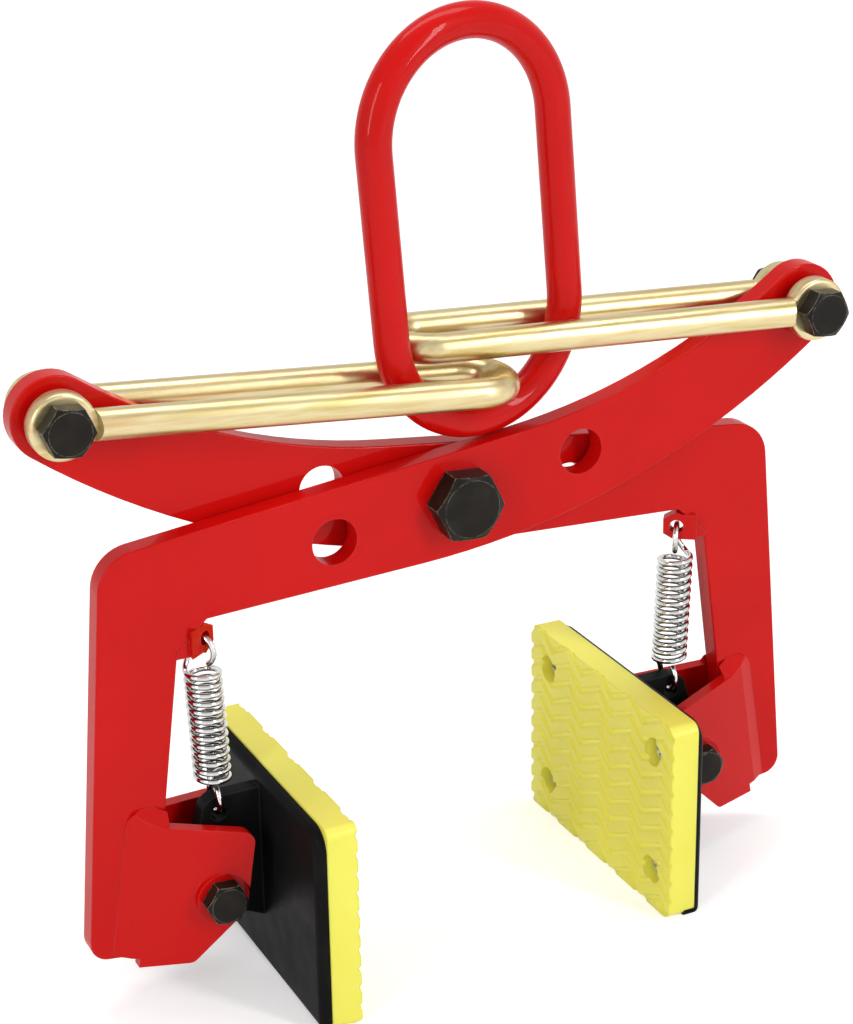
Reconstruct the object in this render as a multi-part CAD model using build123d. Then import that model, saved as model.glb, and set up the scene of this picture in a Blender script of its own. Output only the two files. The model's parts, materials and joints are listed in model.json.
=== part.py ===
from build123d import *
import os
from math import asin, atan2, cos, degrees, radians, sin, sqrt, tan

# Stone lifting clamp. Millimetres, +Z up, front at -Y, floor at Z = 0.
# Everything is drawn about the main pivot and lifted to the floor at export.

# Arm plates
PLATE_T = 11.0
ARM_GAP = 2.0
EYE_X = 183.5
EYE_Z = 66.5
LOBE_R = 19.3
TOP_Z = 24.0
TOP_ANGLE = 6.6
TOP_R = 305.0
BOTTOM_Z = 26.7
BOTTOM_ANGLE = 2.8
BOTTOM_R = 382.0
OUTER_X = 173.4
OUTER_LEAN = 4.95
LEG_W = 39.8
INNER_LEAN = 7.6
FOOT_DROP = 29.5
FOOT_ANGLE = 7.0
CORNER_R = 19.0
FOOT_R = 9.0
WEB_CUT = 13.0
HOLE_D = 22.0
HOLE_PITCH = 62.8
HOLE_DROP = 8.3
HOLE_RISE = 12.7
WASHER_LAND = 7.7
EDGE_BREAK = 0.8

# Clearances
RUN_FIT = 0.05
SIDE_PLAY = 0.2
SCREW_PLAY = 0.15

# Hex hardware: nominal size, width across flats, head height, nut height
PIVOT_BOLT = (20.0, 30.0, 12.5, 16.0)
LINK_BOLT = (14.0, 21.0, 8.8, 7.0)
PAD_BOLT = (12.0, 18.0, 7.5, 10.0)
THREAD_SHOWS = 2.5
TIP_CHAMFER = 0.08
HEX_FACE = 0.91
HEX_CHAMFER = 30.0
HEX_TURN = -4.0

# Lifting ring
BAR_D = 16.2
RING_W = 96.5
RING_H = 181.8
RING_X = 15.5
RING_LEAN = 4.75
RING_REST_GAP = 0.4
RING_FORWARD = 1.17
LEG_LEAD = 1.9

# Hairpin links
ROD_D = 14.0
LINK_EYE_D = 30.0
LINK_EYE_T = 8.9
LINK_EYE_ROUND = 1.5
LINK_EYE_GAP = 4.1
LINK_REST_GAP = 1.2
LOOP_PLAY = 2.4
TIP_PAST = 4.85
TIP_ACROSS = 12.4
TIP_RISE = 20.0

# Jaw: hinge below the pivot, pad, backing plate and lug
HINGE_IN = 25.0
HINGE_Z = 164.0
HINGE_TO_BACK = 26.6
PAD_W = 140.0
PAD_H = 102.6
PAD_BELOW = 1.7
PAD_BASE = 13.2
PAD_R = 5.0
BACK_T = 5.0
BACK_INSET = 1.0
BACK_R = 11.0
BACK_EDGE = 4.5
LIP_L = 5.5
LIP_T = 3.0
LUG_T = 8.0
HUB_D = 25.0
HUB_L = 20.0
TAB_IN = 6.5
TAB_UP = 33.5
TAB_R = 8.5
TAB_HOLE = 7.5

# Zigzag ridges on the pad face
RIDGE_T = 1.3
RIDGE_PITCH = 9.7
RIDGE_W = 8.2
RIDGE_SWING = 8.6
RIDGE_PERIOD = 30.0
RIDGE_STEEP = 0.4
RIDGE_DRAFT = 45.0

# Pad screws
SCREW_EDGE_Y = 18.0
SCREW_EDGE_Z = 19.3
SCREW_D = 6.0
SCREW_BLIND = 1.4
SCREW_END_PLAY = 0.4
SCREW_HEAD_D = 12.0
SCREW_HEAD_H = 3.6
SCREW_CROWN = 0.6
SCREW_POCKET_D = 14.0
SCREW_SLOT = 1.6
SCREW_SLOT_SPAN = 0.55

# Cheek plates, placed by the hinge and drawn from the top of the weld
CHEEK_T = 6.0
CHEEK_FLARE = 18.0
CHEEK_LIFT = 2.0
BEAD_FLARE = 30.0
WELD_IN = 14.8
WELD_UP = 40.0
WELD_LEAN = 9.0
CHEEK_PAST = 10.9
CHEEK_UNDER = 5.0
HEEL_SHORT = 9.6
CHEEK_TOE = 11.5
CHEEK_DROP = 31.3
CHEEK_ROUND = 5.0
BEAD_RISE = 7.5
BEAD_W = 19.0
BEAD_END = 66.0
BEAD_R = 10.0
CROWN_SLOPE = 42.0
SEAT_D = 25.0

# Spring eyes and springs
SPRING_EYE_AF = 13.0
SPRING_EYE_HOLE = 6.8
SPRING_EYE_T = 6.5
SPRING_EYE_IN = 10.6
SPRING_EYE_DROP = 9.4
SPRING_EYE_TURN = 35.0
SPRING_FILL = 15.0
WIRE_D = 2.8
COIL_D = 15.2
COILS = 13
HOOK_R = 7.0
HOOK_LIFT = 0.4
HOOK_SPAN = 150.0
HOOK_LEAD = 60.0
HOOK_STEP = 60.0
COIL_STEP = 90.0
COIL_CLEAR = 16.5

# Values that follow from the sizes above
ARM_MID = (PLATE_T + ARM_GAP) / 2
REACH = 2 * EYE_X
INNER_X = OUTER_X - LEG_W
HINGE_X = INNER_X + HINGE_Z * tan(radians(INNER_LEAN)) - HINGE_IN
PAD_T = PAD_BASE + RIDGE_T
BACK_X = HINGE_X - HINGE_TO_BACK - BACK_T
PAD_FACE_X = BACK_X - PAD_T
PAD_MID_Z = -HINGE_Z - PAD_BELOW
PIVOT_H = PAD_H / 2 - PAD_MID_Z
TAB_X = HINGE_X - TAB_IN
TAB_Z = HINGE_Z - TAB_UP
WELD_Z = HINGE_Z - WELD_UP
WELD_X = OUTER_X + WELD_Z * tan(radians(OUTER_LEAN)) - WELD_IN
RING_R = RING_W / 2
LOOP_R = (ROD_D + BAR_D) / 2 + LOOP_PLAY
LINK_L = EYE_X + RING_R - RING_X - (ROD_D + BAR_D) / 2 + TIP_PAST
LINK_SLEW = asin((ARM_MID + TIP_ACROSS) / LINK_L)
LINK_INNER_Y = PLATE_T / 2 + LINK_EYE_GAP
LINK_SEAT_Y = LINK_INNER_Y + LINK_EYE_T


def meet(p, p_dir, q, q_dir):
    """Crossing of two lines, each a point and a direction."""
    cross = p_dir.X * q_dir.Y - p_dir.Y * q_dir.X
    gap = q - p
    return p + p_dir * ((gap.X * q_dir.Y - gap.Y * q_dir.X) / cross)


def direction(angle):
    return Vector(cos(radians(angle)), sin(radians(angle)))


def rising_arc(height, angle, radius, eye, outside):
    """Arc from a sloping edge up to the eye lobe: start, middle, end."""
    line = direction(angle)
    normal = direction(angle + 90)
    foot = Vector(0, height)
    reach = radius + LOBE_R if outside else radius - LOBE_R
    offset = foot + normal * radius - eye
    half = offset.dot(line)
    travel = -half - sqrt(half * half - offset.dot(offset) + reach * reach)
    start = foot + line * travel
    centre = start + normal * radius
    toward = (centre - eye).normalized()
    end = eye + toward * (LOBE_R if outside else -LOBE_R)
    middle = centre + ((start + end) * 0.5 - centre).normalized() * radius
    return start, middle, end


def web_corner():
    """Where the leg's inner edge meets the arm's lower edge."""
    inner = direction(90 - INNER_LEAN)
    return meet(Vector(-INNER_X, 0), inner, Vector(0, -BOTTOM_Z), direction(BOTTOM_ANGLE))


def arm_outline():
    """Outline of the front arm: eye at the right, leg at the left."""
    eye = Vector(EYE_X, EYE_Z)
    top = rising_arc(TOP_Z, TOP_ANGLE, TOP_R, eye, True)
    low = rising_arc(-BOTTOM_Z, BOTTOM_ANGLE, BOTTOM_R, eye, False)
    low_turn = atan2(low[2].Y - EYE_Z, low[2].X - EYE_X)
    top_turn = atan2(top[2].Y - EYE_Z, top[2].X - EYE_X)
    half_turn = (low_turn + top_turn) / 2
    lobe = eye + Vector(cos(half_turn), sin(half_turn)) * LOBE_R
    outer = direction(90 - OUTER_LEAN)
    inner = direction(90 - INNER_LEAN)
    foot = direction(-FOOT_ANGLE)
    outer_top = meet(Vector(-OUTER_X, 0), outer, top[0], direction(TOP_ANGLE))
    web = web_corner()
    leg_end = Vector(0, -HINGE_Z - FOOT_DROP)
    inner_foot = meet(Vector(-INNER_X, 0), inner, leg_end, Vector(1, 0))
    outer_foot = meet(Vector(-OUTER_X, 0), outer, inner_foot, foot)
    edges = [
        Line(outer_top, top[0]),
        ThreePointArc(*top),
        ThreePointArc(top[2], lobe, low[2]),
        ThreePointArc(*reversed(low)),
        Line(low[0], web),
        Line(web, inner_foot),
        Line(inner_foot, outer_foot),
        Line(outer_foot, outer_top),
    ]
    face = make_face(edges)
    for corner, size in ((outer_top, CORNER_R), (outer_foot, FOOT_R)):
        face = fillet(nearest_vertex(face, corner), size)
    return chamfer(nearest_vertex(face, web), WEB_CUT)


def nearest_vertex(shape, point):
    return shape.vertices().sort_by_distance(point)[0]


def front_plate(sketch, back_y, thickness):
    """Extrude an outline drawn in X and Z forward from back_y."""
    return Pos(0, back_y, 0) * extrude(Plane.XZ * sketch, amount=thickness)


def cross_rod(x, z, diameter, y_from, y_to):
    """Round bar along Y."""
    length = abs(y_to - y_from)
    return Pos(x, (y_from + y_to) / 2, z) * Rot(90, 0, 0) * Cylinder(diameter / 2, length)


def make_arm():
    """Front arm plate about its own middle plane."""
    arm = front_plate(arm_outline(), PLATE_T / 2, PLATE_T)
    faces = arm.faces().filter_by(Axis.Y)
    arm = fillet(faces.edges(), EDGE_BREAK)
    holes = [(0, 0), (-HOLE_PITCH, -HOLE_DROP), (HOLE_PITCH, HOLE_RISE)]
    for x, z in holes:
        arm -= cross_rod(x, z, HOLE_D, -PLATE_T, PLATE_T)
    pin = LINK_BOLT[0] + 2 * RUN_FIT
    return arm - cross_rod(EYE_X, EYE_Z, pin, -PLATE_T, PLATE_T)


def hex_block(flats, height):
    """Hexagon with its top corners turned off, standing on Z = 0."""
    body = extrude(RegularPolygon(flats / 2, 6, major_radius=False), height)
    across = flats / sqrt(3) * 2
    turned = Pos(0, 0, height / 2) * Cylinder(across / 2, height)
    cut = (across - flats * HEX_FACE) / 2
    rim = turned.edges().filter_by(GeomType.CIRCLE).sort_by(Axis.Z)[-1]
    return Rot(0, 0, HEX_TURN) * (body & chamfer(rim, cut * tan(radians(HEX_CHAMFER)), cut))


def hex_bolt(size, grip, shoulder=None):
    """Bolt with its seat at Z = 0, head up; returns bolt and nut."""
    diameter, flats, head, nut_h = size
    length = grip + nut_h + THREAD_SHOWS
    bolt = hex_block(flats, head)
    shank = Pos(0, 0, -length / 2) * Cylinder(diameter / 2, length)
    tip = shank.edges().filter_by(GeomType.CIRCLE).sort_by(Axis.Z)[0]
    bolt += chamfer(tip, diameter * TIP_CHAMFER)
    if shoulder:
        bolt += Pos(0, 0, -grip / 2) * Cylinder(shoulder / 2, grip)
    nut = Rot(180, 0, 0) * hex_block(flats, nut_h)
    nut -= Cylinder(diameter / 2 + RUN_FIT, 3 * nut_h)
    return bolt, Pos(0, 0, -grip) * nut


def set_across(shape, x, y, z):
    """Turn a shape's +Z to the front and place it."""
    return Pos(x, y, z) * Rot(90, 0, 0) * shape


def make_pivot():
    """Shoulder bolt, nut and the washer that parts the arms."""
    shoulder = HOLE_D - 2 * RUN_FIT
    stack = 2 * (ARM_MID + PLATE_T / 2 + SIDE_PLAY)
    bolt, nut = hex_bolt(PIVOT_BOLT, stack, shoulder)
    washer_t = ARM_GAP - 2 * SIDE_PLAY
    washer = Cylinder(HOLE_D / 2 + WASHER_LAND, washer_t) - Cylinder(shoulder / 2, ARM_GAP)
    return (
        set_across(bolt, 0, -stack / 2, 0),
        set_across(nut, 0, -stack / 2, 0),
        set_across(washer, 0, 0, 0),
    )


def make_link():
    """Hairpin link pointing along +X from its eyes, which turn on Y."""
    side = LINK_INNER_Y + ROD_D / 2
    bend_x = LINK_L - LOOP_R
    splay = atan2(LOOP_R - side, bend_x)
    slew = Rot(0, 0, -degrees(LINK_SLEW))
    heel = Vector(-sin(splay), cos(splay)) * LOOP_R
    bend = [
        Vector(bend_x + heel.X, -heel.Y),
        Vector(LINK_L, 0),
        Vector(bend_x + heel.X, heel.Y),
    ]
    bend = [(slew * Pos(p.X, p.Y, 0)).position for p in bend]
    start = Vector(0, -side)
    path = Wire([
        Edge.make_line(start, bend[0]),
        Edge.make_three_point_arc(*bend),
        Edge.make_line(bend[2], Vector(0, side)),
    ])
    profile = Plane(origin=start, z_dir=bend[0] - start) * Circle(ROD_D / 2)
    link = sweep(profile, path=path)
    link -= Box(LINK_EYE_D, 2 * LINK_INNER_Y, LINK_EYE_D)
    for y in (-1, 1):
        link -= cross_rod(0, 0, LINK_EYE_D, y * LINK_SEAT_Y, y * (LINK_SEAT_Y + ROD_D))
        eye = cross_rod(0, 0, LINK_EYE_D, y * LINK_INNER_Y, y * LINK_SEAT_Y)
        link += fillet(eye.edges().filter_by(GeomType.CIRCLE), LINK_EYE_ROUND)
    return link - cross_rod(0, 0, LINK_BOLT[0] + 2 * RUN_FIT, -REACH, REACH)


def link_tilts():
    """Tilts at rest: left on the ring's lower bar, right above the left."""
    left = asin((ring_rest() - RING_R * cos(radians(RING_LEAN)) + TIP_RISE - EYE_Z) / LINK_L)
    run = 2 * EYE_X - LINK_L
    rise = run * tan(left) + (ROD_D + LINK_REST_GAP) / cos(left)
    return degrees(left), degrees(asin(rise / LINK_L))


def make_link_set(tilt, right):
    """Link with its bolt and nut, tilted about the eye and placed."""
    bolt, nut = hex_bolt(LINK_BOLT, 2 * LINK_SEAT_Y)
    turn = Rot(0, tilt, 0) if right else Rot(0, -tilt, 0)
    half_turn = Rot(0, 0, 180) if right else Rot(0, 0, 0)
    side = 1 if right else -1
    place = Pos(side * EYE_X, -side * ARM_MID, EYE_Z) * turn
    hardware = [place * set_across(piece, 0, -LINK_SEAT_Y, 0) for piece in (bolt, nut)]
    return [place * half_turn * make_link(), *hardware]


def ring_rest():
    """Height of the ring's lower centre when it stands on the arms."""
    slope = radians(TOP_ANGLE)
    outer = RING_R + BAR_D / 2 + RING_REST_GAP
    return TOP_Z + RING_X * tan(slope) + outer / cos(slope)


def ring_place():
    """The ring's lower centre, turned so that each leg stands in its link."""
    left = ARM_MID - (EYE_X + RING_X - RING_R) * tan(LINK_SLEW) - LEG_LEAD
    right = (EYE_X - RING_X - RING_R) * tan(LINK_SLEW) - ARM_MID + LEG_LEAD
    yaw = degrees(atan2(right - left, RING_W))
    y = (left + right) / 2 - RING_FORWARD
    return Pos(RING_X, y, ring_rest()) * Rot(0, 0, yaw) * Rot(0, -RING_LEAN, 0)


def make_ring():
    """Oval ring of round bar, standing on the crossing of the arms."""
    r = RING_R
    rise = RING_H - RING_W
    sides = [
        Edge.make_three_point_arc((-r, 0, 0), (0, 0, -r), (r, 0, 0)),
        Edge.make_line((r, 0, 0), (r, 0, rise)),
        Edge.make_three_point_arc((r, 0, rise), (0, 0, rise + r), (-r, 0, rise)),
        Edge.make_line((-r, 0, rise), (-r, 0, 0)),
    ]
    profile = Plane(origin=(-r, 0, 0), z_dir=(0, 0, -1)) * Circle(BAR_D / 2)
    return ring_place() * sweep(profile, path=Wire(sides))


def weld_frame():
    """Plane on the left leg's front face: X in from the weld, Y up along it."""
    origin = (-WELD_X, -PLATE_T / 2, -WELD_Z)
    lean = radians(WELD_LEAN)
    return Plane(origin=origin, x_dir=(cos(lean), 0, -sin(lean)), z_dir=(0, -1, 0))


def hinge_in_weld():
    """Hinge as seen in the weld frame: in from the weld, down along it."""
    lean = radians(WELD_LEAN)
    inward = WELD_X - HINGE_X
    return (
        inward * cos(lean) + WELD_UP * sin(lean),
        WELD_UP * cos(lean) - inward * sin(lean),
    )


def cheek_outline():
    """Side view of a left cheek in the weld frame, weld bead included."""
    level = direction(WELD_LEAN)
    hinge_in, hinge_down = hinge_in_weld()
    bottom = Vector(0, -(WELD_UP + CHEEK_DROP) / cos(radians(WELD_LEAN)))
    heel = meet(bottom, level, Vector(hinge_in - HEEL_SHORT, 0), Vector(0, 1))
    toe = meet(bottom, level, Vector(CHEEK_TOE, 0), Vector(0, 1))
    corner = Vector(hinge_in + CHEEK_PAST, 0)
    lower = Vector(corner.X, -hinge_down - CHEEK_UNDER)
    bead_top = Vector(0, BEAD_RISE)
    face = make_face(Polyline(
        bead_top, (BEAD_W, BEAD_RISE), (BEAD_W, 0), corner, lower,
        heel, toe, (CHEEK_TOE, -BEAD_END), (0, -BEAD_END), close=True))
    face = fillet(nearest_vertex(face, bead_top), BEAD_R)
    for point in (corner, heel):
        face = fillet(nearest_vertex(face, point), CHEEK_ROUND)
    return face


def half_space(point, outward):
    """Large block on the inner side of a plane."""
    return Plane(origin=point, z_dir=outward) * Pos(0, 0, -REACH / 2) * Box(REACH, REACH, REACH)


def sloped(frame, run_dir, angle, lift):
    """Half space under a face that climbs from the leg along run_dir."""
    climb = radians(angle)
    run = frame.x_dir * run_dir[0] + frame.y_dir * run_dir[1]
    return half_space(
        frame.origin + frame.z_dir * lift, frame.z_dir * cos(climb) - run * sin(climb))


def make_cheek():
    """Front left cheek about the arm's middle plane, flared off the leg."""
    frame = weld_frame()
    outside = sloped(frame, (1, 0), CHEEK_FLARE, CHEEK_LIFT)
    inside = sloped(frame, (1, 0), CHEEK_FLARE, CHEEK_LIFT - CHEEK_T / cos(radians(CHEEK_FLARE)))
    bead = sloped(frame, (1, 0), BEAD_FLARE, 0)
    prism = extrude(frame * cheek_outline(), amount=REACH)
    crown = sloped(frame, (0, -1), CROWN_SLOPE, BEAD_RISE * tan(radians(CROWN_SLOPE)))
    above = extrude(frame * Pos(0, REACH / 2) * Rectangle(REACH, REACH), amount=REACH)
    cheek = (prism & outside & bead) - inside - (above - crown)
    depth = -PLATE_T / 2 - seat_depth()
    hub_face = -HUB_L / 2 - SIDE_PLAY
    cheek += cross_rod(-HINGE_X, -HINGE_Z, SEAT_D, hub_face, depth)
    cheek -= cross_rod(-HINGE_X, -HINGE_Z, SEAT_D, depth, depth - SEAT_D)
    return cheek - cross_rod(-HINGE_X, -HINGE_Z, PAD_BOLT[0] + 2 * RUN_FIT, 0, -REACH)


def seat_depth():
    """How far the bolt seat stands off the leg's face."""
    return CHEEK_LIFT + hinge_in_weld()[0] * tan(radians(CHEEK_FLARE))


def plate_yz(width, height, radius, x_from, x_to):
    """Upright rounded plate across X, centred on the pad."""
    sketch = Plane.YZ * RectangleRounded(width, height, radius)
    return Pos(x_from, 0, PAD_MID_Z) * extrude(sketch, amount=x_to - x_from)


def screw_spots():
    across = PAD_W / 2 - SCREW_EDGE_Y
    up = PAD_H / 2 - SCREW_EDGE_Z
    return [(y, z) for y in (-across, across) for z in (-up, up)]


def x_rod(diameter, y, z, x_from, x_to):
    """Round bar along X, placed from the pad's centre."""
    length = abs(x_to - x_from)
    return Pos((x_from + x_to) / 2, y, PAD_MID_Z + z) * Rot(0, 90, 0) * Cylinder(diameter / 2, length)


def lip_block(wide):
    """Space of the left plate's lower edge, folded in under the pad."""
    low = PAD_MID_Z - PAD_H / 2
    return Pos(LIP_L / 2 - BACK_X, 0, low + LIP_T / 2) * Box(LIP_L, wide, LIP_T)


def make_back():
    """Left backing plate, rounded behind and at its top corners, with its lip."""
    wide = PAD_W - 2 * BACK_INSET
    sketch = Pos(0, -BACK_INSET / 2) * Rectangle(wide, PAD_H - BACK_INSET)
    sketch = fillet(sketch.vertices().group_by(Axis.Y)[-1], BACK_R)
    plate = extrude(Plane.YZ * sketch, amount=BACK_T)
    plate = fillet(plate.faces().sort_by(Axis.X)[0].edges(), BACK_EDGE)
    return Pos(-BACK_X - BACK_T, 0, PAD_MID_Z) * plate + lip_block(wide)


def make_carrier():
    """Left backing plate with the lug that hangs on the hinge bolt."""
    wall = -BACK_X - BACK_T
    hub = Vector(-HINGE_X, -HINGE_Z)
    tab = Vector(-TAB_X, -TAB_Z)
    web = Polyline(
        (wall, tab.Y + TAB_R), (tab.X, tab.Y + TAB_R), (tab.X - TAB_R, tab.Y),
        (hub.X - HUB_D / 2, hub.Y), (hub.X, hub.Y - HUB_D / 2), (wall, hub.Y - HUB_D),
        close=True)
    side = make_face(web) + Pos(tab.X, tab.Y) * Circle(TAB_R) + Pos(hub.X, hub.Y) * Circle(HUB_D / 2)
    carrier = make_back() + front_plate(side, LUG_T / 2, LUG_T)
    carrier += cross_rod(hub.X, hub.Y, HUB_D, -HUB_L / 2, HUB_L / 2)
    carrier -= cross_rod(hub.X, hub.Y, PAD_BOLT[0] + 2 * RUN_FIT, -HUB_L, HUB_L)
    carrier -= cross_rod(tab.X, tab.Y, TAB_HOLE, -HUB_L, HUB_L)
    for y, z in screw_spots():
        carrier -= x_rod(SCREW_D + 2 * SCREW_PLAY, y, z, wall + SCREW_BLIND, 0)
    return carrier


def ridge(level):
    """One zigzag ridge across the pad, drawn in Y and Z about the pad centre."""
    half = int(PAD_W / RIDGE_PERIOD / 2) + 2
    line = []
    for i in range(-half, half + 1):
        peak = i * RIDGE_PERIOD
        line.append((peak - RIDGE_STEEP * RIDGE_PERIOD, level - RIDGE_SWING / 2))
        line.append((peak, level + RIDGE_SWING / 2))
    upper = [(y, z + RIDGE_W / 2) for y, z in line]
    lower = [(y, z - RIDGE_W / 2) for y, z in reversed(line)]
    return make_face(Polyline(*upper, *lower, close=True))


def make_pad():
    """Left grip pad: a slab with zigzag ridges and four screw pockets."""
    pad = plate_yz(PAD_W, PAD_H, PAD_R, -BACK_X, -BACK_X + PAD_BASE)
    outline = plate_yz(PAD_W, PAD_H, PAD_R, -BACK_X, -PAD_FACE_X)
    rows = int(PAD_H / RIDGE_PITCH) + 2
    for row in range(rows):
        level = (row - (rows - 1) / 2) * RIDGE_PITCH
        strip = extrude(Plane.YZ * ridge(level), amount=RIDGE_T, taper=RIDGE_DRAFT)
        pad += (Pos(-BACK_X + PAD_BASE, 0, PAD_MID_Z) * strip) & outline
    for y, z in screw_spots():
        pad -= x_rod(SCREW_POCKET_D, y, z, -BACK_X + PAD_BASE / 2, 0)
        pad -= x_rod(SCREW_D + 2 * SCREW_PLAY, y, z, -BACK_X - BACK_T, 0)
    return pad - lip_block(PAD_W)


def make_screw():
    """Pan head screw along +X, seat at X = 0."""
    head = Rot(0, 90, 0) * Pos(0, 0, SCREW_HEAD_H / 2) * Cylinder(SCREW_HEAD_D / 2, SCREW_HEAD_H)
    head = fillet(head.edges().filter_by(GeomType.CIRCLE).sort_by(Axis.X)[-1], SCREW_HEAD_H * SCREW_CROWN)
    length = PAD_BASE / 2 + BACK_T - SCREW_BLIND - SCREW_END_PLAY
    shank = Pos(-length / 2, 0, 0) * Rot(0, 90, 0) * Cylinder(SCREW_D / 2, length)
    screw = head + shank
    for turn in (0, 90):
        slot = Box(SCREW_SLOT * 2, SCREW_HEAD_D * SCREW_SLOT_SPAN, SCREW_SLOT)
        screw -= Pos(SCREW_HEAD_H, 0, 0) * Rot(turn, 0, 0) * slot
    return screw


def make_screws():
    """The left pad's four screws as separate solids."""
    seat = -BACK_X + PAD_BASE / 2
    return Compound([
        Pos(seat, y, PAD_MID_Z + z) * make_screw().solid() for y, z in screw_spots()])


def spring_eye_spot():
    corner = web_corner()
    return Vector(corner.X + SPRING_EYE_IN, 0, corner.Y - SPRING_EYE_DROP)


def make_spring_eye(arm):
    """Hexagonal eye turned about Z, with the weld that fills the web corner."""
    spot = spring_eye_spot()
    flats = RegularPolygon(SPRING_EYE_AF / 2, 6, major_radius=False, rotation=30)
    fill = Pos(-SPRING_FILL / 2, 0) * Rectangle(SPRING_FILL, SPRING_EYE_AF)
    hole = Circle(SPRING_EYE_HOLE / 2)
    body = extrude(flats + fill - hole, SPRING_EYE_T / 2, both=True)
    turned = Pos(spot) * Rot(0, 0, SPRING_EYE_TURN) * Rot(90, 0, 0) * body
    weld_zone = Box(REACH, PLATE_T, REACH)
    clear_zone = Pos(spot.X + (REACH - SPRING_EYE_AF) / 2, 0, 0) * Box(REACH, REACH, REACH)
    return (turned & weld_zone) + (turned & clear_zone) - arm


def biarc(p, p_dir, q, q_dir):
    """Two tangent arcs from p to q."""
    gap = q - p
    total = p_dir + q_dir
    curve = 2 * (1 - p_dir.dot(q_dir))
    lean = gap.dot(total)
    if curve < 1e-9:
        reach = gap.dot(gap) / (2 * lean)
    else:
        reach = (-lean + sqrt(lean * lean + curve * gap.dot(gap))) / curve
    first = p + p_dir * reach
    second = q - q_dir * reach
    middle = (first + second) * 0.5
    return [
        Edge.make_tangent_arc(p, p_dir, middle),
        Edge.make_tangent_arc(middle, (second - first).normalized(), q),
    ]


def spread(start, end, step):
    """Even angles from start to end, about step apart."""
    count = max(1, round(abs(end - start) / step))
    return [start + (end - start) * i / count for i in range(count + 1)]


def compass(angle):
    return Vector(cos(radians(angle)), sin(radians(angle)), 0)


def spring_stations(length, upper, lower):
    """Points and directions along a hooked spring that hangs down Z.

    upper and lower are the compass angles of the two hook planes."""
    stations = []
    down = Vector(0, 0, -1)
    top_centre = down * (HOOK_R - HOOK_LIFT)
    low_centre = down * (length - HOOK_R + HOOK_LIFT)
    for turn in spread(HOOK_SPAN, -90, HOOK_STEP):
        across = compass(upper)
        out = across * sin(radians(turn)) - down * cos(radians(turn))
        heading = across * -cos(radians(turn)) - down * sin(radians(turn))
        stations.append((top_centre + out * HOOK_R, heading))
    first = upper + 180 + HOOK_LEAD
    swing = (lower + 180 - HOOK_LEAD - first) % 360
    last = first + swing + 360 * (COILS - 1)
    fall = length - 2 * COIL_CLEAR
    rate = fall / (radians(last - first) * COIL_D / 2)
    for angle in spread(first, last, COIL_STEP):
        depth = COIL_CLEAR + fall * (angle - first) / (last - first)
        place = compass(angle) * (COIL_D / 2) + down * depth
        stations.append((place, (compass(angle + 90) + down * rate).normalized()))
    for turn in spread(-90, HOOK_SPAN, HOOK_STEP):
        across = compass(lower)
        out = across * sin(radians(turn)) + down * cos(radians(turn))
        heading = across * cos(radians(turn)) - down * sin(radians(turn))
        stations.append((low_centre + out * HOOK_R, heading))
    return stations


def least_gap(edges):
    """Least clear space between stretches of the wire that aren't neighbours."""
    points = []
    travel = []
    run = 0.0
    for edge in edges:
        count = max(3, int(edge.length))
        for i in range(count):
            points.append(edge.position_at(i / count))
            travel.append(run + edge.length * i / count)
        run += edge.length
    least = (points[-1] - points[0]).length
    for i, p in enumerate(points):
        for j in range(i + 1, len(points)):
            if travel[j] - travel[i] > 4 * WIRE_D:
                least = min(least, (points[j] - p).length)
    return least - WIRE_D


def make_spring():
    """Left spring, from the spring eye down to the tab hole."""
    top = spring_eye_spot()
    low = Vector(-TAB_X, 0, -TAB_Z)
    span = top - low
    edges = []
    stations = spring_stations(span.length, SPRING_EYE_TURN - 90, -90)
    for here, there in zip(stations, stations[1:]):
        edges += biarc(*here, *there)
    print("least spring gap", round(least_gap(edges), 2))
    profile = Plane(origin=stations[0][0], z_dir=stations[0][1]) * Circle(WIRE_D / 2)
    spring = sweep(profile, path=Wire(edges))
    tilt = degrees(atan2(span.X, span.Z))
    return Pos(top) * Rot(0, tilt, 0) * spring


def both_jaws(name, shape):
    """The left piece on the front arm and its mirror on the rear arm."""
    left = Pos(0, -ARM_MID, 0) * shape
    right = Pos(0, ARM_MID, 0) * mirror(shape, about=Plane.YZ)
    return {"left_" + name: left, "right_" + name: right}


def make_parts():
    arm = make_arm()
    pivot = make_pivot()
    left_tilt, right_tilt = link_tilts()
    left_link = make_link_set(left_tilt, False)
    right_link = make_link_set(right_tilt, True)
    cheek = make_cheek()
    seat = -PLATE_T / 2 - seat_depth()
    bolt, nut = hex_bolt(PAD_BOLT, -2 * seat)
    parts = {
        "front_arm": Pos(0, -ARM_MID, 0) * arm,
        "rear_arm": Pos(0, ARM_MID, 0) * mirror(arm, about=Plane.YZ),
        "pivot_bolt": pivot[0],
        "pivot_nut": pivot[1],
        "pivot_washer": pivot[2],
        "lifting_ring": make_ring(),
    }
    for side, pieces in (("left", left_link), ("right", right_link)):
        for name, piece in zip(("link", "link_bolt", "link_nut"), pieces):
            parts[side + "_" + name] = piece
    parts |= both_jaws("front_cheek", cheek)
    parts |= both_jaws("rear_cheek", mirror(cheek, about=Plane.XZ))
    parts |= both_jaws("spring_eye", make_spring_eye(arm))
    parts |= both_jaws("spring", make_spring())
    parts |= both_jaws("pad_carrier", make_carrier())
    parts |= both_jaws("pad", make_pad())
    parts |= both_jaws("pad_screws", make_screws())
    parts |= both_jaws("hinge_bolt", set_across(bolt, -HINGE_X, seat, -HINGE_Z))
    parts |= both_jaws("hinge_nut", set_across(nut, -HINGE_X, seat, -HINGE_Z))
    return parts


os.makedirs("parts", exist_ok=True)
for name, shape in make_parts().items():
    export_step(Pos(0, 0, PIVOT_H) * shape, "parts/" + name + ".step")
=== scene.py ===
import bpy
import json
from math import cos, radians, sin
from mathutils import Matrix, Vector


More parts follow.
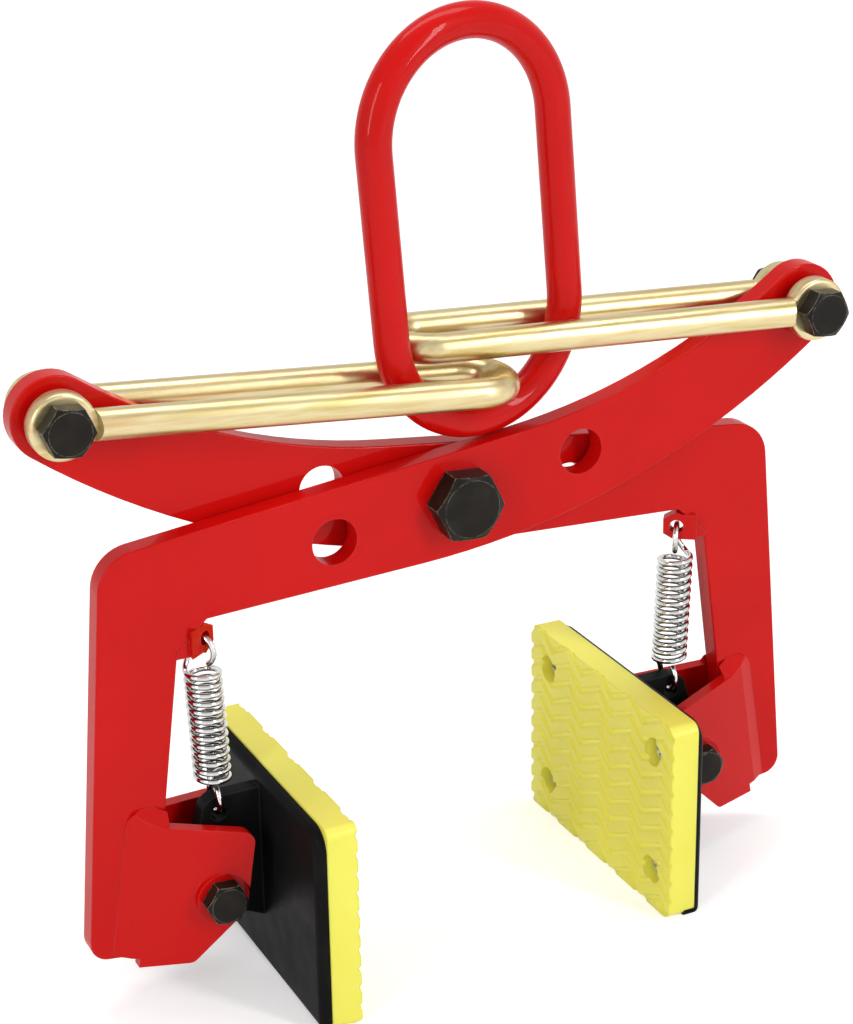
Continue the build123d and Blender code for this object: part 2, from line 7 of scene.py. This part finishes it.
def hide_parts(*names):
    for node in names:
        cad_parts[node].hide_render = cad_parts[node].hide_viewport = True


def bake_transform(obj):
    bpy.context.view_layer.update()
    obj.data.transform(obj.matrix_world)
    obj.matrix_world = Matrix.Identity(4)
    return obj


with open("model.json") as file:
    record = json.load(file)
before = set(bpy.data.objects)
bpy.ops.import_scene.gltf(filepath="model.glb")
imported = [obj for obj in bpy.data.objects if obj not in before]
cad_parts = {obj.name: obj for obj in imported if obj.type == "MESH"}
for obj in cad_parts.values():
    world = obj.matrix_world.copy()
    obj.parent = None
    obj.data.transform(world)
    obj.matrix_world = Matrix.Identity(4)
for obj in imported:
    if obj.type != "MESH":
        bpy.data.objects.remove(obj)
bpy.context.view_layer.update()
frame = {"nodes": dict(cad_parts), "record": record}
nodes = frame["nodes"]

# Photograph: picture in pixels, sensor in millimetres, angles in degrees, lengths in metres
IMAGE_HEIGHT = 1024
FOCAL_PIXELS = 2445.2
SENSOR = 24.0
VIEW_AZIMUTH = -25.66
VIEW_ELEVATION = 21.82
VIEW_ROLL = -0.97
VIEW_DISTANCE = 1.1244
VIEW_SHIFT = (0.01017, 0.0092)
PIVOT = Vector((0.0, 0.0, 0.217))

# Finishes, in linear colour
RED = (0.63, 0.004, 0.003)
RED_DEEP = (0.585, 0.003, 0.002)
# Paler red for the edges: painted highlight and wear
RED_EDGE_HIGHLIGHT_AND_WEAR = (0.78, 0.040, 0.034)
ZINC = (0.58, 0.465, 0.195)
ZINC_PALE = (0.68, 0.58, 0.335)
ZINC_WARM = (0.635, 0.465, 0.235)
OXIDE = (0.010, 0.008, 0.006)
OXIDE_BROWN = (0.021, 0.017, 0.011)
# Bright oxide for the edges: painted glint and wear
OXIDE_EDGE_GLINT_AND_WEAR = (0.32, 0.29, 0.24)
BLACK = (0.008, 0.008, 0.008)
BLACK_SOFT = (0.011, 0.011, 0.011)
# Grey for the edges: painted sheen
BLACK_EDGE_SHEEN = (0.030, 0.030, 0.030)
YELLOW = (0.93, 0.89, 0.13)
YELLOW_DEEP = (0.91, 0.85, 0.11)
# Deeper yellow for the ridge tops: painted shade
YELLOW_RIDGE_SHADE = (0.80, 0.74, 0.08)
BRIGHT = (0.76, 0.76, 0.74)
BRIGHT_DULL = (0.62, 0.62, 0.60)
# Dark for the underside of the coils: painted shade
STEEL_PAINTED_SHADE = (0.03, 0.03, 0.03)
WHITE = (1.0, 1.0, 1.0)

# Rays that find the edges, and how far the rounded normal turns from the true one there
EDGE_SAMPLES = 6
EDGE_TURN = (0.997, 0.93)

# Part of a noise's range that drives the roughness
NOISE_SPAN = (0.25, 0.75)

# How streaks in the zinc are drawn out along the rods, for colour and for roughness
ZINC_STREAKS = (0.025, 1.0, 1.0)
ZINC_SHEEN = (0.05, 1.0, 1.0)

# Upward part of the normal over which the underside of a coil darkens, as painted shade
UNDERSIDE_SHADE_SPAN = (-0.65, 0.15)

# Where the pads' grip ridges start and end, metres from the middle of the clamp
RIDGE = (0.0844, 0.0857)

# Where the pads grow paler towards their rims, as a painted glow, metres from the middle of
# the pad
PAD_MIDDLE = 0.0513
PAD_RIM_Y = (0.045, 0.072)
PAD_RIM_Z = (0.028, 0.050)
RIM_SHADE_KEPT = 0.3

# Table: glow grows from the middle outwards, over a reach in metres
FLOOR_SIZE = 24.0
FLOOR_COLOUR = (0.86, 0.86, 0.86)
FLOOR_ROUGHNESS = 0.9
FLOOR_GLOW = (0.42, 0.62)
GLOW_REACH = (0.8, 2.5)

# Room: light on the part, and the height over which the walls pass into the ceiling
AMBIENT = 0.46
WALL = 1.0
CEILING = 0.70
WALL_TOP = (0.35, 0.60)

# Soft boxes that face the pivot: name, place and size in metres, power in watts
SOFT_BOXES = (
    ("key", (1.05, -1.85, 1.2), (0.3, 1.5), 19.8),
    ("left_strip", (-1.5, -0.9, 0.9), (0.3, 1.2), 9.0),
    ("top", (0.2, 0.3, 1.9), (1.8, 0.5), 13.0),
)

RISE = (0.0, 1.0)
FALL = (1.0, 0.0)
RANGE_SOCKETS = ("From Min", "From Max", "To Min", "To Max")


def opaque(colour):
    return (*colour, 1.0)


def map_range(tree, source, before, after):
    """Node that maps a value from one range to another, held at both ends."""
    node = tree.nodes.new("ShaderNodeMapRange")
    for name, value in zip(RANGE_SOCKETS, before + after):
        node.inputs[name].default_value = value
    tree.links.new(source, node.inputs["Value"])
    return node


class Finish:
    """A principled material with noise-driven colour, roughness and bump."""

    def __init__(self, name):
        self.material = bpy.data.materials.new(name)
        self.material.use_nodes = True
        self.tree = self.material.node_tree
        self.shader = self.tree.nodes["Principled BSDF"]
        self.place = self.node("TexCoord").outputs["Object"]
        self.normal = None

    def node(self, kind):
        return self.tree.nodes.new("ShaderNode" + kind)

    def link(self, source, target):
        self.tree.links.new(source, target)

    def set(self, **values):
        for key, value in values.items():
            self.shader.inputs[key.replace("_", " ")].default_value = value
        return self

    def split(self, vector):
        node = self.node("SeparateXYZ")
        self.link(vector, node.inputs["Vector"])
        return node.outputs

    def noise(self, scale, detail=3.0, stretch=WHITE):
        """Noise over the piece, drawn out along the axes where stretch is small."""
        turn = self.node("Mapping")
        turn.inputs["Scale"].default_value = stretch
        self.link(self.place, turn.inputs["Vector"])
        noise = self.node("TexNoise")
        noise.inputs["Scale"].default_value = scale
        noise.inputs["Detail"].default_value = detail
        self.link(turn.outputs["Vector"], noise.inputs["Vector"])
        return noise.outputs["Fac"]

    def spread(self, source, before, after):
        return map_range(self.tree, source, before, after).outputs["Result"]

    def ramp(self, source, *stops):
        node = self.node("ValToRGB")
        elements = node.color_ramp.elements
        while len(elements) < len(stops):
            elements.new(0.5)
        for element, (position, colour) in zip(elements, stops):
            element.position = position
            element.color = opaque(colour)
        self.link(source, node.inputs["Fac"])
        return node.outputs["Color"]

    def mix(self, mask, under, over):
        node = self.node("Mix")
        node.data_type = "RGBA"
        self.link(mask, node.inputs["Factor"])
        self.link(under, node.inputs["A"])
        node.inputs["B"].default_value = opaque(over)
        return node.outputs["Result"]

    def product(self, first, second):
        node = self.node("Math")
        node.operation = "MULTIPLY"
        self.link(first, node.inputs[0])
        self.link(second, node.inputs[1])
        return node.outputs["Value"]

    def away(self, source, middle):
        """Distance of a value from middle."""
        offset = self.node("Math")
        offset.operation = "SUBTRACT"
        self.link(source, offset.inputs[0])
        offset.inputs[1].default_value = middle
        size = self.node("Math")
        size.operation = "ABSOLUTE"
        self.link(offset.outputs["Value"], size.inputs[0])
        return size.outputs["Value"]

    def round_edges(self, radius):
        """Round off the sharp edges in the shading."""
        bevel = self.node("Bevel")
        bevel.samples = EDGE_SAMPLES
        bevel.inputs["Radius"].default_value = radius
        self.normal = bevel.outputs["Normal"]

    def edges(self, radius):
        """Round off the sharp edges, and return a mask of them."""
        self.round_edges(radius)
        turned = self.node("VectorMath")
        turned.operation = "DOT_PRODUCT"
        self.link(self.normal, turned.inputs[0])
        self.link(self.node("NewGeometry").outputs["Normal"], turned.inputs[1])
        return self.spread(turned.outputs["Value"], EDGE_TURN, RISE)

    def colour(self, source):
        self.link(source, self.shader.inputs["Base Color"])
        return self

    def roughness(self, source, low, high):
        rough = self.spread(source, NOISE_SPAN, (low, high))
        self.link(rough, self.shader.inputs["Roughness"])
        return self

    def bump(self, source, strength, depth):
        node = self.node("Bump")
        node.inputs["Strength"].default_value = strength
        node.inputs["Distance"].default_value = depth
        self.link(source, node.inputs["Height"])
        if self.normal:
            self.link(self.normal, node.inputs["Normal"])
        self.link(node.outputs["Normal"], self.shader.inputs["Normal"])
        return self


def red_paint():
    """Gloss paint, paler along the edges: painted highlight and some wear."""
    f = Finish("red_paint").set(Specular_IOR_Level=0.05, Coat_Weight=0.22, Coat_Roughness=0.04)
    edge_patches = f.spread(f.noise(scale=60.0, detail=5.0), (0.35, 0.7), (0.3, 1.0))
    pale_edges = f.product(f.edges(radius=0.0008), edge_patches)
    paint = f.ramp(f.noise(scale=18.0), (0.35, RED_DEEP), (0.65, RED))
    f.colour(f.mix(pale_edges, paint, RED_EDGE_HIGHLIGHT_AND_WEAR))
    f.roughness(f.noise(scale=70.0), low=0.30, high=0.40)
    return f.bump(f.noise(scale=700.0), strength=0.06, depth=0.0005).material


def yellow_zinc():
    """Plated bar with faint streaks along it."""
    f = Finish("yellow_zinc").set(Metallic=1.0)
    streaks = f.noise(scale=240.0, stretch=ZINC_STREAKS)
    f.colour(f.ramp(streaks, (0.34, ZINC), (0.50, ZINC_PALE), (0.66, ZINC_WARM)))
    f.round_edges(radius=0.0006)
    f.roughness(f.noise(scale=160.0, stretch=ZINC_SHEEN), low=0.26, high=0.38)
    return f.bump(f.noise(scale=900.0), strength=0.05, depth=0.0004).material


def black_oxide():
    """Blackened bolts, bright along the edges: painted glint and some wear."""
    f = Finish("black_oxide").set(Specular_IOR_Level=0.13)
    rub_and_glint_patches = f.spread(f.noise(scale=400.0, detail=5.0), (0.38, 0.58), (0.1, 1.0))
    pale_edges = f.product(f.edges(radius=0.0007), rub_and_glint_patches)
    oxide = f.ramp(f.noise(scale=90.0, detail=5.0), (0.42, OXIDE), (0.72, OXIDE_BROWN))
    f.colour(f.mix(pale_edges, oxide, OXIDE_EDGE_GLINT_AND_WEAR))
    f.roughness(f.noise(scale=160.0), low=0.28, high=0.44)
    return f.bump(f.noise(scale=1200.0), strength=0.10, depth=0.0003).material


def black_paint():
    """Dull paint, a little paler along the edges as a painted sheen."""
    f = Finish("black_paint").set(Specular_IOR_Level=0.03)
    pale_edges = f.edges(radius=0.0010)
    paint = f.ramp(f.noise(scale=40.0), (0.40, BLACK), (0.70, BLACK_SOFT))
    f.colour(f.mix(pale_edges, paint, BLACK_EDGE_SHEEN))
    f.roughness(f.noise(scale=90.0), low=0.34, high=0.46)
    return f.bump(f.noise(scale=800.0), strength=0.08, depth=0.0004).material


def yellow_polyurethane():
    """Cast pad, with painted shade deepening the tops of its ridges and a painted glow leaving
    its rims paler.
    """
    f = Finish("yellow_polyurethane").set(
        Subsurface_Weight=0.3, Subsurface_Scale=0.005, Subsurface_Radius=(1.0, 0.95, 0.35),
        Specular_IOR_Level=0.35)
    f.round_edges(radius=0.0010)
    place = f.split(f.place)
    # Ridge tops painted deeper as painted shade, less so towards the rims as a painted glow
    top = f.spread(f.away(place["X"], 0.0), RIDGE, FALL)
    shade_clear_of_glowing_rims = f.product(
        f.spread(f.away(place["Y"], 0.0), PAD_RIM_Y, (1.0, RIM_SHADE_KEPT)),
        f.spread(f.away(place["Z"], PAD_MIDDLE), PAD_RIM_Z, (1.0, RIM_SHADE_KEPT)))
    cast = f.ramp(f.noise(scale=22.0), (0.35, YELLOW_DEEP), (0.65, YELLOW))
    f.colour(f.mix(f.product(top, shade_clear_of_glowing_rims), cast, YELLOW_RIDGE_SHADE))
    f.roughness(f.noise(scale=80.0), low=0.30, high=0.42)
    return f.bump(f.noise(scale=500.0), strength=0.05, depth=0.0004).material


def bright_metal(f):
    """Colour of bare bright metal, in places a little dull."""
    return f.ramp(f.noise(scale=200.0), (0.30, BRIGHT_DULL), (0.60, BRIGHT))


def bright_screw():
    f = Finish("bright_screw").set(Metallic=1.0)
    f.colour(bright_metal(f))
    return f.roughness(f.noise(scale=300.0), low=0.25, high=0.38).material


def bright_spring():
    """Bright wire, with painted shade on the underside of the coils."""
    f = Finish("bright_spring").set(Metallic=1.0)
    facing = f.split(f.node("TexCoord").outputs["Normal"])
    under = f.spread(facing["Z"], UNDERSIDE_SHADE_SPAN, FALL)
    f.colour(f.mix(under, bright_metal(f), STEEL_PAINTED_SHADE))
    return f.roughness(f.noise(scale=300.0), low=0.08, high=0.16).material


def dress_nodes():
    """Give every CAD node the finish of its slot in the record."""
    finishes = {
        "red_paint": red_paint(),
        "yellow_zinc": yellow_zinc(),
        "black_oxide": black_oxide(),
        "black_paint": black_paint(),
        "yellow_polyurethane": yellow_polyurethane(),
        "bright_screw": bright_screw(),
        "bright_spring": bright_spring(),
    }
    for part in frame["record"]["subparts"]:
        node = nodes[part["node"]]
        for slot in node.material_slots:
            slot.material = finishes[part["material_slot"]]


def hang_spring(side):
    """A copy of the CAD spring, shown in place of the hidden CAD node."""
    node = nodes[side + "_spring"]
    spring = bpy.data.objects.new(side + "_spring_coil", node.data.copy())
    bpy.context.collection.objects.link(spring)
    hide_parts(side + "_spring")
    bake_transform(spring)


def either_ray(tree):
    """One where a ray comes from the camera, a reflection or glass."""
    path = tree.nodes.new("ShaderNodeLightPath")
    seen = path.outputs["Is Camera Ray"]
    for ray in ("Is Glossy Ray", "Is Transmission Ray"):
        either = tree.nodes.new("ShaderNodeMath")
        either.operation = "MAXIMUM"
        tree.links.new(seen, either.inputs[0])
        tree.links.new(path.outputs[ray], either.inputs[1])
        seen = either.outputs["Value"]
    return seen


def make_floor():
    """White table that is a little brighter where it is seen."""
    bpy.ops.mesh.primitive_plane_add(size=FLOOR_SIZE, location=(0, 0, 0))
    floor = bpy.context.object
    floor.name = "floor"
    material = bpy.data.materials.new("floor")
    material.use_nodes = True
    tree = material.node_tree
    shader = tree.nodes["Principled BSDF"]
    shader.inputs["Base Color"].default_value = opaque(FLOOR_COLOUR)
    shader.inputs["Roughness"].default_value = FLOOR_ROUGHNESS
    shader.inputs["Specular IOR Level"].default_value = 0.0
    shader.inputs["Emission Color"].default_value = opaque(WHITE)
    away = tree.nodes.new("ShaderNodeVectorMath")
    away.operation = "LENGTH"
    place = tree.nodes.new("ShaderNodeTexCoord")
    tree.links.new(place.outputs["Object"], away.inputs[0])
    far = map_range(tree, away.outputs["Value"], GLOW_REACH, FLOOR_GLOW)
    glow = map_range(tree, either_ray(tree), RISE, RISE)
    tree.links.new(far.outputs["Result"], glow.inputs["To Max"])
    tree.links.new(glow.outputs["Result"], shader.inputs["Emission Strength"])
    floor.data.materials.append(material)


def make_world():
    """White walls round the table and a darker ceiling, for reflections to show."""
    world = bpy.data.worlds.new("studio")
    world.use_nodes = True
    tree = world.node_tree
    background = tree.nodes["Background"]
    background.inputs["Color"].default_value = opaque(WHITE)
    split = tree.nodes.new("ShaderNodeSeparateXYZ")
    place = tree.nodes.new("ShaderNodeTexCoord")
    tree.links.new(place.outputs["Generated"], split.inputs["Vector"])
    wall = map_range(tree, split.outputs["Z"], WALL_TOP, (WALL, CEILING))
    choice = map_range(tree, either_ray(tree), RISE, (AMBIENT, WALL))
    tree.links.new(wall.outputs["Result"], choice.inputs["To Max"])
    tree.links.new(choice.outputs["Result"], background.inputs["Strength"])
    bpy.context.scene.world = world


def soft_box(name, place, size, power):
    """Area lamp at place, facing the pivot."""
    lamp = bpy.data.lights.new(name, "AREA")
    lamp.shape = "RECTANGLE"
    lamp.size, lamp.size_y = size
    lamp.energy = power
    holder = bpy.data.objects.new(name, lamp)
    bpy.context.collection.objects.link(holder)
    holder.location = place
    holder.rotation_euler = (PIVOT - Vector(place)).to_track_quat("-Z", "Y").to_euler()


def make_camera():
    """Camera of the photograph, shifted so that the pivot lies where it does there."""
    azimuth = radians(VIEW_AZIMUTH)
    elevation = radians(VIEW_ELEVATION)
    roll = radians(VIEW_ROLL)
    back = Vector((
        sin(azimuth) * cos(elevation), -cos(azimuth) * cos(elevation), sin(elevation)))
    level = Vector((0, 0, 1)).cross(back).normalized()
    upright = back.cross(level)
    right = level * cos(roll) + upright * sin(roll)
    up = upright * cos(roll) - level * sin(roll)
    place = PIVOT + back * VIEW_DISTANCE - right * VIEW_SHIFT[0] - up * VIEW_SHIFT[1]
    turn = Matrix((right, up, back)).transposed().to_4x4()
    lens = bpy.data.cameras.new("photo_camera")
    lens.sensor_fit = "VERTICAL"
    lens.sensor_height = SENSOR
    lens.lens = FOCAL_PIXELS * SENSOR / IMAGE_HEIGHT
    camera = bpy.data.objects.new("photo_camera", lens)
    camera.matrix_world = Matrix.Translation(place) @ turn
    bpy.context.collection.objects.link(camera)
    bpy.context.scene.camera = camera


dress_nodes()
hang_spring("left")
hang_spring("right")
make_floor()
make_world()
for box in SOFT_BOXES:
    soft_box(*box)
make_camera()
bpy.context.scene.view_settings.view_transform = "Standard"
